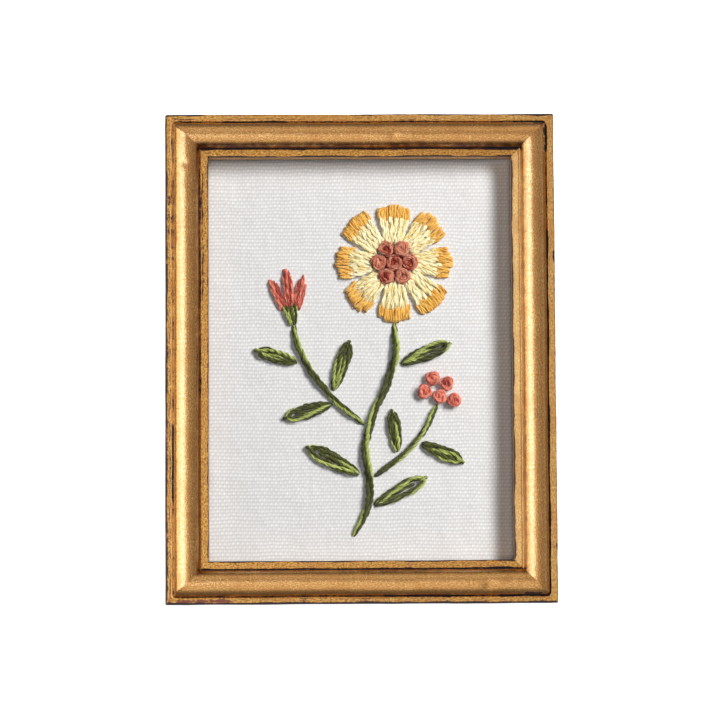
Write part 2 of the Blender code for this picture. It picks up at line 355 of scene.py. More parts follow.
def bare_wood():
    """Sawn softwood on the frame's back and in its rabbet, its grain running along each rail."""
    material, add = start_material("bare sawn pine")
    lines = add("ShaderNodeUVMap", uv_map="along_across")
    along = add(MAPPING, {"Vector": lines, "Scale": (0.05, 1.0, 1.0)})
    rings = add(NOISE, {"Vector": along, "Scale": 900.0, "Detail": 5.0, "Distortion": 0.6})
    band = add(MAP_RANGE, rings, 0.35, 0.65)
    colour = add(MIX, band, {6: linear("D8B98A"), 7: linear("B98F5C")}, **RGBA)
    bump = add(BUMP, {"Strength": 0.5, "Distance": 0.00012, "Height": rings})
    shader = add(SHADER, {"Base Color": colour, "Roughness": 0.75, "Normal": bump})
    add(OUTPUT, {"Surface": shader})
    return material


def linen():
    """Bleached linen in plain weave: pale rounded threads with painted shade in the gaps, and slubs along
    them.

    The threads' own count is in the UV map, so the shading follows the woven relief in the mesh.
    """
    material, add = start_material("bleached linen, plain weave")
    # One unit is one thread, and a slub is some 16 threads long
    threads = add("ShaderNodeUVMap", uv_map="thread_count")
    rise = add("ShaderNodeAttribute", out="Fac", attribute_name="rise")
    place = add(COORDINATES, out="Object")
    slub_warp = add(MAPPING, {"Vector": threads, "Scale": (1.0, 0.06, 1.0)})
    slub_weft = add(MAPPING, {"Vector": threads, "Scale": (0.06, 1.0, 1.0)})
    slub = add(MIX, 0.5, {
        2: add(NOISE, {"Vector": slub_warp, "Scale": 1.0, "Detail": 2.0}),
        3: add(NOISE, {"Vector": slub_weft, "Scale": 1.0, "Detail": 2.0})})
    # Fibres of a quarter millimetre, and pale threads over gaps darkened with painted shade
    fibre = add(NOISE, {"Vector": place, "Scale": 3800.0, "Detail": 3.0})
    height = add(MAP_RANGE, rise, 0.05, 0.7)
    colour = add(MIX, height, {6: linear("D0CCC8"), 7: linear("F4F1EE")}, **RGBA)
    tone = add(MAP_RANGE, slub, 0.38, 0.62, 0.35, 0.0)
    colour = add(MIX, tone, {6: colour, 7: linear("D6CFCA")}, **RGBA)
    bump = add(BUMP, {"Strength": 0.6, "Distance": 0.00008, "Height": fibre})
    shader = add(SHADER, {
        "Base Color": colour, "Roughness": 0.9, "Specular IOR Level": 0.25, "Normal": bump})
    add(OUTPUT, {"Surface": shader})
    return material


def dyed_wool(name, dark, pale, other_dark, other_pale):
    """Soft plied wool in two dyes: each strand has its own shade, and tone picks the dye."""
    material, add = start_material(name)
    place = add(COORDINATES, out="Object")
    shade = add("ShaderNodeAttribute", out="Fac", attribute_name="shade")
    tone = add("ShaderNodeAttribute", out="Fac", attribute_name="tone")
    # Fibres about 0.35 mm apart
    fuzz = add(NOISE, {"Vector": place, "Scale": 2800.0, "Detail": 3.0})
    share = add(MATH, fuzz, 1.1, -0.4, **TIMES_PLUS)
    share = add(MATH, shade, 0.85, share, **TIMES_PLUS, use_clamp=True)
    dye = add(MIX, share, {6: linear(dark), 7: linear(pale)}, **RGBA)
    other_dye = add(MIX, share, {6: linear(other_dark), 7: linear(other_pale)}, **RGBA)
    colour = add(MIX, tone, {6: dye, 7: other_dye}, **RGBA)
    bump = add(BUMP, {"Strength": 0.5, "Distance": 0.00008, "Height": fuzz})
    shader = add(SHADER, {
        "Base Color": colour, "Roughness": 0.85, "Specular IOR Level": 0.2,
        "Sheen Weight": 0.2, "Sheen Roughness": 0.5, "Normal": bump})
    add(OUTPUT, {"Surface": shader})
    return material


def mount_card():
    """Off-white mount card with a faint pulp grain."""
    material, add = start_material("off-white mount card")
    place = add(COORDINATES, out="Object")
    pulp = add(NOISE, {"Vector": place, "Scale": 1800.0, "Detail": 4.0})
    colour = add(MIX, pulp, {6: linear("CFC8BA"), 7: linear("E4DED2")}, **RGBA)
    shader = add(SHADER, {"Base Color": colour, "Roughness": 0.9})
    add(OUTPUT, {"Surface": shader})
    return material


def hardboard():
    """Brown pressed hardboard, mottled with matted fibres about a millimetre long."""
    material, add = start_material("brown pressed hardboard")
    place = add(COORDINATES, out="Object")
    fibres = add(NOISE, {
        "Vector": place, "Scale": 1300.0, "Detail": 6.0, "Roughness": 0.75, "Distortion": 1.2})
    cloud = add(NOISE, {"Vector": place, "Scale": 90.0, "Detail": 2.0})
    matted = add(MAP_RANGE, fibres, 0.36, 0.66)
    stained = add(MAP_RANGE, cloud, 0.0, 1.0, 0.0, 0.4)
    colour = add(MIX, matted, {6: linear("6A4C32"), 7: linear("A27C54")}, **RGBA)
    colour = add(MIX, stained, {6: colour, 7: linear("7C5C40")}, **RGBA)
    bump = add(BUMP, {"Strength": 0.5, "Distance": 0.0001, "Height": fibres})
    shader = add(SHADER, {"Base Color": colour, "Roughness": 0.8, "Normal": bump})
    add(OUTPUT, {"Surface": shader})
    return material


# Geometry Nodes

def start_tree(name, inputs):
    """A Geometry Nodes tree with named inputs, the call that adds nodes to it, and its inputs' sockets."""
    tree = bpy.data.node_groups.new(name, "GeometryNodeTree")
    tree.interface.new_socket("Geometry", in_out="INPUT", socket_type="NodeSocketGeometry")
    for title, kind in inputs.items():
        tree.interface.new_socket(title, in_out="INPUT", socket_type=kind)
    tree.interface.new_socket("Geometry", in_out="OUTPUT", socket_type="NodeSocketGeometry")
    start = tree.nodes.new("NodeGroupInput")
    return tree, partial(add_node, tree), start.outputs


def grow(name, mesh, tree, sizes):
    """Run a tree on a mesh, its inputs set by their identifiers, and keep the result as a plain piece."""
    piece = bpy.data.objects.new(name, mesh)
    modifier = piece.modifiers.new(tree.name, "NODES")
    modifier.node_group = tree
    inputs = [item for item in tree.interface.items_tree if item.in_out == "INPUT"]
    identifiers = {item.name: item.identifier for item in inputs}
    for title, value in sizes.items():
        modifier[identifiers[title]] = value
    bpy.context.scene.collection.objects.link(piece)
    depsgraph = bpy.context.evaluated_depsgraph_get()
    made = bpy.data.meshes.new_from_object(piece.evaluated_get(depsgraph))
    piece.modifiers.remove(modifier)
    piece.data = made
    made.name = name
    return piece


def add_attribute(mesh, name, values, kind="FLOAT"):
    """One number at each point of a mesh, for a tree or a material to read."""
    layer = mesh.attributes.new(name, kind, "POINT")
    layer.data.foreach_set("value", np.asarray(values, dtype=np.float32 if kind == "FLOAT" else np.int32))


# Gilt frame

def arc(middle, radius, start, end, steps):
    """Points round an ellipse, from start to end degrees, both ends included."""
    angles = [math.radians(start + (end - start) * i / steps) for i in range(steps + 1)]
    return [(middle[0] + radius[0] * math.cos(a), middle[1] + radius[1] * math.sin(a)) for a in angles]


def run(start, end, steps):
    """Points from start up to but not at end."""
    return [(start[0] + (end[0] - start[0]) * i / steps, start[1] + (end[1] - start[1]) * i / steps)
            for i in range(steps)]


def moulding_section():
    """The moulding's outline as (distance inward, height, finish), once round from the back's outer corner.

    Finish is 0 for gilding, 1 for black paint and 2 for bare wood.
    """
    groove_floor = INNER_FILLET_TOP - GROOVE_DEPTH
    bead_start = OUTER_FILLET_WIDTH + GROOVE_WIDTH
    inner_start = BEAD_END + GROOVE_WIDTH
    # Edges and the bead's feet are softened by tenths of a millimetre
    side = run((0.0, 0.0), (0.0, OUTER_FILLET_TOP - ARRIS), 8)
    face = arc((ARRIS, OUTER_FILLET_TOP - ARRIS), (ARRIS, ARRIS), 180.0, 90.0, 4)
    face += run((ARRIS + 0.25, OUTER_FILLET_TOP), (OUTER_FILLET_WIDTH - 0.1, OUTER_FILLET_TOP), 8)
    face += [(OUTER_FILLET_WIDTH - 0.1, OUTER_FILLET_TOP - 0.03),
             (OUTER_FILLET_WIDTH, OUTER_FILLET_TOP - 0.15), (OUTER_FILLET_WIDTH + 0.12, groove_floor + 0.1),
             (OUTER_FILLET_WIDTH + 0.22, groove_floor), (bead_start - 0.06, groove_floor + 0.12)]
    face += arc((BEAD_MIDDLE, INNER_FILLET_TOP), (BEAD_WIDTH / 2.0, BEAD_RISE), 176.0, 4.0, 30)
    face += [(BEAD_END + 0.06, groove_floor + 0.12), (BEAD_END + 0.2, groove_floor),
             (BEAD_END + 0.3, groove_floor + 0.12), (inner_start, INNER_FILLET_TOP - 0.1),
             (inner_start + 0.1, INNER_FILLET_TOP)]
    face += run((inner_start + 0.3, INNER_FILLET_TOP), (RAIL_WIDTH - ARRIS, INNER_FILLET_TOP), 8)
    face += arc((RAIL_WIDTH - ARRIS, INNER_FILLET_TOP - ARRIS), (ARRIS, ARRIS), 90.0, 0.0, 4)
    face += run((RAIL_WIDTH, INNER_FILLET_TOP - ARRIS - 1.0), (RAIL_WIDTH, RABBET_DEPTH), 6)
    back = run((RAIL_WIDTH, RABBET_DEPTH), (RAIL_WIDTH - RABBET_WIDTH, RABBET_DEPTH), 3)
    back += run((RAIL_WIDTH - RABBET_WIDTH, RABBET_DEPTH), (RAIL_WIDTH - RABBET_WIDTH, 0.0), 4)
    back += run((RAIL_WIDTH - RABBET_WIDTH, 0.0), (0.0, 0.0), 5)
    return [(a, h, finish) for finish, points in ((1, side), (0, face), (2, back)) for a, h in points]


def section_mesh():
    """The section as a closed line whose points carry what the rail's tree reads."""
    section = moulding_section()
    count = len(section)
    mesh = bpy.data.meshes.new("moulding section")
    mesh.from_pydata([(a * MM, h * MM, 0.0) for a, h, _ in section],
                     [(i, (i + 1) % count) for i in range(count)], [])
    across = np.array([a for a, _, _ in section])
    height = np.array([h for _, h, _ in section])
    steps = np.hypot(np.diff(across), np.diff(height))
    add_attribute(mesh, "across", across * MM)
    add_attribute(mesh, "height", height * MM)
    add_attribute(mesh, "measure", np.concatenate(([0.0], np.cumsum(steps))) * MM)
    # Radius of the frame's corner along each line: worn round at the outer edge and groove, and crisp from
    # the bead's middle inward
    corner = np.interp(across, (0.0, 1.2, 2.7, BEAD_MIDDLE), (0.5, 1.2, 1.6, 0.001))
    add_attribute(mesh, "corner", corner * MM)
    bead = (across > OUTER_FILLET_WIDTH + 0.3) & (across < BEAD_END + 0.1)
    add_attribute(mesh, "burnish", bead & (height > INNER_FILLET_TOP - 1.0))
    add_attribute(mesh, "finish", [f for _, _, f in section], "INT")
    return mesh


def moulding_tree():
    """Sweeps the section along one rail, mitred at both ends, and works it a little uneven by hand."""
    tree, add, start = start_tree("mitred moulding", {
        "Half Length": NUMBER, "Half Depth": NUMBER, "Turn": NUMBER,
        "Columns": "NodeSocketInt", "Unevenness": NUMBER,
        "Gilding": FINISH, "Paint": FINISH, "Wood": FINISH})
    section = add("GeometryNodeMeshToCurve", {"Mesh": start["Geometry"]})
    line = add("GeometryNodeCurvePrimitiveLine", {"End": (1.0, 0.0, 0.0)})
    line = add("GeometryNodeResampleCurve", {"Curve": line, "Count": start["Columns"]})
    line = add(STORE, {"Geometry": line, "Name": "along", "Value": add("GeometryNodeSplineParameter")})
    rail = add("GeometryNodeCurveToMesh", {"Curve": line, "Profile Curve": section, "Fill Caps": True})

    along, across, height, corner, measure = [
        add(READ, {"Name": name}) for name in ("along", "across", "height", "corner", "measure")]
    # From -1 to 1 along the rail, with the columns crowded towards the mitres
    crowding = 0.35
    place = add(MATH, along, 2.0, -1.0, **TIMES_PLUS)
    cube = add(MATH, place, 3.0, operation="POWER")
    wide = add(MATH, place, 1.0 + crowding, **TIMES)
    place = add(MATH, wide, add(MATH, cube, crowding, **TIMES), **MINUS)
    # Each line of the section ends in half a rounded corner, which is the mitre
    straight = add(MATH, add(MATH, start["Half Length"], across, **MINUS), corner, **MINUS)
    reach = add(MATH, corner, math.pi / 4.0, straight, **TIMES_PLUS)
    gone = add(MATH, add(MATH, place, operation="ABSOLUTE"), reach, **TIMES)
    over = add(MATH, add(MATH, gone, straight, **MINUS), 0.0, operation="MAXIMUM")
    angle = add(MATH, over, corner, **OVER)
    before = add(MATH, gone, straight, operation="MINIMUM")
    x = add(MATH, corner, add(MATH, angle, operation="SINE"), before, **TIMES_PLUS)
    x = add(MATH, x, add(MATH, place, operation="SIGN"), **TIMES)
    depth = add(MATH, add(MATH, start["Half Depth"], across, **MINUS), corner, **MINUS)
    depth = add(MATH, corner, add(MATH, angle, operation="COSINE"), depth, **TIMES_PLUS)
    y = add(MATH, depth, -1.0, **TIMES)
    position = add(COMBINE, {"X": x, "Y": y, "Z": height})
    rail = add("GeometryNodeSetPosition", {"Geometry": rail, "Position": position})
    lines = add(COMBINE, {"X": x, "Y": measure})
    rail = add(STORE, {"Geometry": rail, "Name": "along_across", "Value": lines},
               data_type="FLOAT2", domain="CORNER")
    turn = add(COMBINE, {"Z": start["Turn"]})
    rail = add("GeometryNodeTransform", {"Geometry": rail, "Rotation": turn})

    # Long soft waves and short ones, growing from nothing low on the side to their full size at the face
    spot = add("GeometryNodeInputPosition")
    long_wave, short_wave = [
        add(NOISE, {"Vector": spot, "Scale": scale, "Detail": 2.0}, out="Color") for scale in (55.0, 320.0)]
    short_share, mean = 0.16, 0.58
    swell = add(VECTOR_MATH, short_wave, (short_share,) * 3, long_wave, **TIMES_PLUS)
    swell = add(VECTOR_MATH, swell, (mean,) * 3, **MINUS)
    hold = add(MAP_RANGE, height, 6.0 * MM, 14.0 * MM)
    size = add(MATH, hold, start["Unevenness"], **TIMES)
    offset = add(VECTOR_MATH, swell, {"Scale": size}, operation="SCALE")
    rail = add("GeometryNodeSetPosition", {"Geometry": rail, "Offset": offset})
    rail = add("GeometryNodeSetShadeSmooth", {"Geometry": rail})
    rail = add("GeometryNodeRealizeInstances", {"Geometry": rail})
    # Inputs 2 and 3 of a Compare node are its two whole numbers
    finish = add(READ, {"Name": "finish"}, data_type="INT")
    for number, title in enumerate(("Gilding", "Paint", "Wood")):
        chosen = add("FunctionNodeCompare", {2: finish, 3: number}, data_type="INT", operation="EQUAL")
        rail = add("GeometryNodeSetMaterial", {
            "Geometry": rail, "Selection": chosen, "Material": start[title]})
    add("NodeGroupOutput", {"Geometry": rail})
    return tree


# Rubbed gilding, and lines of painted shade along the inner arris and the inner groove, by side: distance
# inward, spread, start and stop along the side, strength.
# Along is X for the top and bottom, Y for the left and right.
RUBBED_AND_SHADED = {
    "top": (
        (1.3, 1.2, -85.0, 85.0, 0.2), (13.6, 1.2, -85.0, 85.0, 0.26), (2.7, 0.35, -68.0, 68.0, 0.55),
        (2.7, 0.45, -48.0, -25.0, 1.0), (2.8, 0.5, 53.0, 65.5, 1.0), (3.6, 0.6, 60.0, 65.0, 0.8),
        (1.9, 0.15, 10.0, 50.0, 0.55), (1.7, 0.2, -66.0, -57.0, 0.7), (2.5, 0.25, -64.0, -58.0, 0.85),
        (1.6, 0.18, -52.0, -18.0, 0.6), (1.5, 1.5, -68.0, -60.0, 0.4), (12.1, 0.45, -57.0, 57.0, 0.75),
        (11.6, 0.5, -57.0, 57.0, 0.4), (12.1, 0.5, -57.0, -50.0, 0.95), (12.1, 0.6, 43.0, 57.0, 1.0),
        (13.6, 0.9, -56.0, -21.0, 0.4), (14.95, 0.35, -56.0, 56.0, 1.1), (0.1, 0.5, -68.0, -54.0, 0.9),
        (0.1, 0.4, -54.0, -21.0, 0.5), (0.1, 0.45, -4.0, 52.0, 0.7), (0.1, 0.6, 52.0, 68.0, 0.95)),
    "bottom": (
        (1.3, 1.2, -85.0, 85.0, 0.26), (13.6, 1.2, -85.0, 85.0, 0.26), (12.1, 0.45, -57.0, 57.0, 0.75),
        (12.1, 0.6, 43.0, 53.0, 1.0), (2.7, 0.35, -68.0, 68.0, 0.5), (1.9, 0.18, -50.0, 30.0, 0.55),
        (2.7, 0.4, -68.0, -46.0, 0.5), (3.5, 0.8, 55.0, 63.0, 0.66), (2.7, 0.45, 6.5, 40.0, 0.85),
        (2.7, 0.5, 47.0, 66.0, 1.0), (0.1, 0.75, -68.0, 68.0, 1.0), (14.95, 0.35, -56.0, 56.0, 1.0)),
    "left": (
        (1.3, 1.2, -85.0, 85.0, 0.26), (13.6, 1.2, -85.0, 85.0, 0.26), (2.7, 0.35, -85.0, 85.0, 0.42),
        (2.7, 0.35, -50.0, -23.0, 0.9), (2.7, 0.3, 34.0, 62.0, 0.5), (0.7, 0.2, -80.0, 60.0, 0.62),
        (1.7, 0.18, -85.0, 20.0, 0.6), (2.2, 0.15, 20.0, 80.0, 0.55), (13.0, 0.35, 20.0, 66.0, 0.62),
        (0.1, 0.6, -85.0, 85.0, 1.05), (12.1, 0.4, -85.0, 85.0, 0.3), (12.1, 0.4, -15.0, 72.0, 0.6),
        (1.3, 0.9, 41.0, 59.0, 0.42), (14.9, 0.25, -70.0, 70.0, 0.6)),
    "right": (
        (1.3, 1.2, -85.0, 85.0, 0.26), (13.6, 1.2, -85.0, 85.0, 0.14), (2.7, 0.38, -85.0, 45.0, 0.95),
        (2.7, 0.4, 72.0, 82.0, 1.0), (3.4, 0.7, 71.5, 75.0, 0.85), (3.4, 0.7, 77.0, 81.0, 0.85),
        (2.7, 0.35, 45.0, 72.0, 0.55), (14.95, 0.4, -70.0, 70.0, 1.05), (12.1, 0.4, -85.0, 85.0, 0.15),
        (0.1, 0.3, -85.0, 85.0, 0.5), (0.2, 0.7, 33.0, 38.0, 0.8), (0.2, 0.6, 26.0, 28.5, 0.8),
        (0.2, 0.6, -67.0, -64.0, 0.8)),
}
# Red clay showing in patches, in the same way
CLAY_PATCHES = {
    "top": ((5.0, 3.0, -62.0, 62.0, 0.3),),
    "bottom": ((1.2, 1.3, -65.0, -44.0, 0.62), (1.2, 1.2, -44.0, 64.0, 0.4), (9.5, 2.5, -60.0, 60.0, 0.32)),
    "left": ((1.2, 1.2, -80.0, 80.0, 0.36),),
    "right": ((1.2, 1.2, -80.0, 80.0, 0.36), (4.5, 1.6, -80.0, 80.0, 0.34)),
}
# Pale leaf painted in the same way: painted highlight on the right rail's fillets and along the left rail's
# outer fillet, and paler patches on the top and bottom
PALE_LEAF_AND_HIGHLIGHT = {
    "top": ((1.2, 1.2, 8.0, 68.0, 0.35), (1.2, 1.2, -68.0, 8.0, 0.12)),
    "bottom": ((1.2, 1.2, -60.0, 68.0, 0.1),),
    "left": ((2.15, 0.22, -85.0, 85.0, 1.0), (2.75, 0.4, -85.0, 85.0, 0.7)),
    "right": (
        (13.5, 1.6, -20.0, 72.0, 1.0), (13.5, 1.6, -72.0, -20.0, 0.75), (1.2, 1.4, -85.0, 85.0, 0.45)),
}
# How much wax and painted shade darken the bead's outer foot and its inner foot
WAX_AND_SHADE = {"top": (0.1, 1.5), "bottom": (0.8, 0.8), "left": (0.0, 0.75), "right": (0.0, 0.8)}
# Grooves filled up with gesso: side, and the distances inward between which they are filled
FILLED_GROOVES = (("right", 11.8, 12.35), ("left", 2.5, 2.95))
# Slope of an inner fillet down towards the cloth, which turns it to the left softbox
INNER_SLOPE = {"right": 0.09}
# Dents in the moulding: side, distance inward, place along it, spread, depth
DENTS = (("left", 7.0, 68.0, 1.3, 0.22), ("bottom", 6.0, 44.0, 2.0, 0.3), ("right", 5.2, -20.0, 1.6, 0.25),
         ("top", 8.2, 12.0, 1.8, 0.25))


def bands(rows, across, along):
    """Strongest of the painted bands at each point: each wanders a little and fades out at its ends."""
    painted = np.zeros(len(across))
    fade = 3.0
    for middle, spread, start, stop, strength in rows:
        begun = np.clip((along - start) / fade + 0.5, 0.0, 1.0)
        ends = begun * np.clip((stop - along) / fade + 0.5, 0.0, 1.0)
        wander = 0.12 * np.sin(along / 5.3 + start) + 0.08 * np.sin(along / 1.9 + middle)
        painted = np.maximum(painted, strength * ends * np.exp(-((across - middle - wander) / spread) ** 2))
    return painted


def point_values(mesh, name):
    """A mesh's own number at each point."""
    values = np.empty(len(mesh.vertices), dtype=np.float32)
    mesh.attributes[name].data.foreach_get("value", values)
    return values


def point_places(mesh):
    """Where each point of a mesh is, in metres."""
    places = np.empty(len(mesh.vertices) * 3, dtype=np.float32)
    mesh.vertices.foreach_get("co", places)
    return places.reshape(-1, 3)


def work_rail(mesh, side):
    """Dents, filled grooves and a sloping fillet in a rail's shape, and its wear with painted shade and
    painted highlight, in attributes.
    """
    places = point_places(mesh)
    across = point_values(mesh, "across") / MM
    height = point_values(mesh, "height") / MM
    along = places[:, 0 if side in ("top", "bottom") else 1] / MM
    slack, fill_short = 0.1, 0.08
    facing = height > INNER_FILLET_TOP - GROOVE_DEPTH - slack
    for where, middle, spot, spread, deep in DENTS:
        if where == side:
            away = ((across - middle) ** 2 + (along - spot) ** 2) / spread ** 2
            places[:, 2] -= deep * MM * np.exp(-away) * (height > INNER_FILLET_TOP)
    for where, start, stop in FILLED_GROOVES:
        if where == side:
            lifted = INNER_FILLET_TOP - fill_short - height
            filled = (across > start) & (across < stop) & facing & (lifted > 0.0)
            places[:, 2] += np.where(filled, lifted, 0.0) * MM
    beyond = np.clip(across - BEAD_END - GROOVE_WIDTH, 0.0, None)
    beyond = beyond * (height > INNER_FILLET_TOP - ARRIS - slack)
    places[:, 2] -= INNER_SLOPE.get(side, 0.0) * beyond * MM
    mesh.vertices.foreach_set("co", places.ravel())

    # Rubbing with painted shade, clay, and pale leaf with painted highlight, each from its table
    for name, table in (("rub_and_shade", RUBBED_AND_SHADED), ("clay", CLAY_PATCHES), ("pale", PALE_LEAF_AND_HIGHLIGHT)):
        add_attribute(mesh, name, bands(table[side], across, along) * facing)
    # Wax with painted shade along the bead's feet, set by side
    outer_wax_shade, inner_wax_shade = WAX_AND_SHADE[side]
    foot = BEAD_MIDDLE - BEAD_WIDTH / 2.0
    edges = (foot - 0.5, foot, foot + 1.7, BEAD_END - 2.3, BEAD_END - 0.8, BEAD_END, BEAD_END + 0.2)
    shares = (0.0, outer_wax_shade, 0.0, 0.0, inner_wax_shade, inner_wax_shade, 0.0)
    add_attribute(mesh, "wax_and_shade", np.interp(across, edges, shares) * facing)
    # The mitres' cut ends stay flat
    for polygon in mesh.polygons:
        if len(polygon.vertices) > 4:
            polygon.use_smooth = False
    mesh.update()


def add_gilt_frame():
    """Four mitred rails, each worn and dented where the real one is."""
    tree = moulding_tree()
    finishes = {"Gilding": gilding(), "Paint": black_paint(), "Wood": bare_wood()}
    half_width, half_height = FRAME_WIDTH / 2.0 * MM, FRAME_HEIGHT / 2.0 * MM
    quarter = math.pi / 2.0
    for side, length, depth, turn in (("bottom", half_width, half_height, 0.0),
                                      ("right", half_height, half_width, quarter),
                                      ("top", half_width, half_height, 2.0 * quarter),
                                      ("left", half_height, half_width, -quarter)):
        rail = grow(f"gilt_rail_{side}", section_mesh(), tree, {
            "Half Length": length, "Half Depth": depth, "Turn": turn,
            "Columns": int(length / MM * COLUMNS_A_MM), "Unevenness": UNEVENNESS * MM, **finishes})
        work_rail(rail.data, side)
        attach(rail, "root")
        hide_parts(f"rail_{side}")


# Linen and boards

def weave_tree():
    """A grid with a point at each crossing and between, raised where a thread passes over."""
    tree, add, start = start_tree("plain weave", {
        "Half Width": NUMBER, "Half Height": NUMBER, "Top": NUMBER,
        "Warp Pitch": NUMBER, "Weft Pitch": NUMBER, "Relief": NUMBER, "Linen": FINISH})
    sizes, steps = [], []
    for half, pitch in (("Half Width", "Warp Pitch"), ("Half Height", "Weft Pitch")):
        step = add(MATH, start[pitch], 0.5, **TIMES)
        doubled = add(MATH, start[half], 2.0, **TIMES)
        count = add(MATH, add(MATH, doubled, step, **OVER), operation="FLOOR")
        sizes.append(add(MATH, count, step, **TIMES))
        steps.append(add(MATH, count, 1.0, **PLUS))
    grid = add("GeometryNodeMeshGrid", {
        "Size X": sizes[0], "Size Y": sizes[1], "Vertices X": steps[0], "Vertices Y": steps[1]})
    place = add("ShaderNodeSeparateXYZ", add("GeometryNodeInputPosition")).node.outputs
    counts = [add(MATH, add(MATH, size, 0.5, place[axis], **TIMES_PLUS), start[pitch], **OVER)
              for axis, (size, pitch) in enumerate(zip(sizes, ("Warp Pitch", "Weft Pitch")))]

    def thread(count, other, ahead):
        """A thread's height: round across itself, and over one crossing thread then under the next."""
        middle = add(MATH, add(MATH, count, operation="FRACT"), 0.5, **MINUS)
        rounded = add(MATH, add(MATH, middle, middle, **TIMES), -4.0, 1.0, **TIMES_PLUS)
        turn = add(MATH, add(MATH, count, operation="FLOOR"), other, **PLUS)
        turn = add(MATH, turn, ahead, **PLUS)
        wave = add(MATH, add(MATH, turn, math.pi, **TIMES), operation="SINE")
        wave = add(MATH, wave, 0.5, 0.5, **TIMES_PLUS)
        return add(MATH, rounded, wave, **TIMES)

    # The thin warp stands up less than the weft
    warp_share = 0.42
    weft = thread(counts[1], counts[0], 0.0)
    warp = add(MATH, thread(counts[0], counts[1], 1.0), warp_share, **TIMES)
    rise = add(MATH, weft, warp, operation="MAXIMUM")
    spot = add("GeometryNodeInputPosition")
    slub = add(NOISE, {"Vector": spot, "Scale": 700.0, "Detail": 2.0})
    rise = add(MATH, rise, add(MATH, slub, 1.1, 0.45, **TIMES_PLUS), **TIMES)
    # Named values are stored before the points move
    grid = add(STORE, {"Geometry": grid, "Name": "rise", "Value": rise})
    lines = add(COMBINE, {"X": counts[0], "Y": counts[1]})
    grid = add(STORE, {"Geometry": grid, "Name": "thread_count", "Value": lines},
               data_type="FLOAT2", domain="CORNER")
    # The cloth sways by some tenths of a millimetre, along X, Y and Z
    sway = add(NOISE, {"Vector": spot, "Scale": 90.0, "Detail": 3.0}, out="Color")
    sway = add(VECTOR_MATH, sway, (0.5, 0.5, 0.5), **MINUS)
    sway = add(VECTOR_MATH, sway, (0.0012, 0.0016, 0.0006), **TIMES)
    level = 0.6
    height = add(MATH, add(MATH, rise, level, **MINUS), start["Relief"], start["Top"], **TIMES_PLUS)
    offset = add(VECTOR_MATH, sway, add(COMBINE, {"Z": height}), **PLUS)
    grid = add("GeometryNodeSetPosition", {"Geometry": grid, "Offset": offset})
    grid = add("GeometryNodeSetShadeSmooth", {"Geometry": grid})
    grid = add("GeometryNodeRealizeInstances", {"Geometry": grid})
    grid = add("GeometryNodeSetMaterial", {"Geometry": grid, "Material": start["Linen"]})
    add("NodeGroupOutput", {"Geometry": grid})
    return tree


def close_below(mesh, low):
    """Walls from a sheet's rim down to one height, and one face that closes them there.

    They are made in the rim's own order, so that every run gives the same mesh.
    """
    bm = bmesh.new()
    bm.from_mesh(mesh)
    rim = [edge.link_loops[0] for edge in bm.edges if edge.is_boundary]
    below = {corner.vert: bm.verts.new((corner.vert.co.x, corner.vert.co.y, low), corner.vert)
             for corner in rim}
    after = {}
    for corner in rim:
        ahead = corner.link_loop_next
        after[corner.vert] = ahead.vert
        wall = bm.faces.new((ahead.vert, corner.vert, below[corner.vert], below[ahead.vert]), corner.face)
        for made, source in zip(wall.loops, (ahead, corner, corner, ahead)):
            made.copy_from(source)
    ring = [rim[0].vert]
    while len(ring) < len(rim):
        ring.append(after[ring[-1]])
    bm.faces.new([below[vertex] for vertex in reversed(ring)])
    bm.to_mesh(mesh)
    bm.free()


def add_linen():
    """The stretched ground cloth: the woven face, turned down at its edges and closed underneath."""
    half_width, half_height = LINEN_HIGH.x, LINEN_HIGH.y
    cloth = grow("linen_cloth", bpy.data.meshes.new("linen start"), weave_tree(), {
        "Half Width": half_width, "Half Height": half_height, "Top": LINEN_HIGH.z,
        "Warp Pitch": WARP_PITCH * MM, "Weft Pitch": WEFT_PITCH * MM, "Relief": WEAVE_RELIEF * MM,
        "Linen": linen()})
    clearance = 0.05 * MM
    close_below(cloth.data, LINEN_LOW.z + clearance)
    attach(cloth, "root")
    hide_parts("linen")


def finish_boards():
    """The card and the backing are plain boards, kept from the solids."""
    for name, material in (("mount_board", mount_card()), ("backing_board", hardboard())):
        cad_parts[name].material_slots[0].material = material


# Needlework

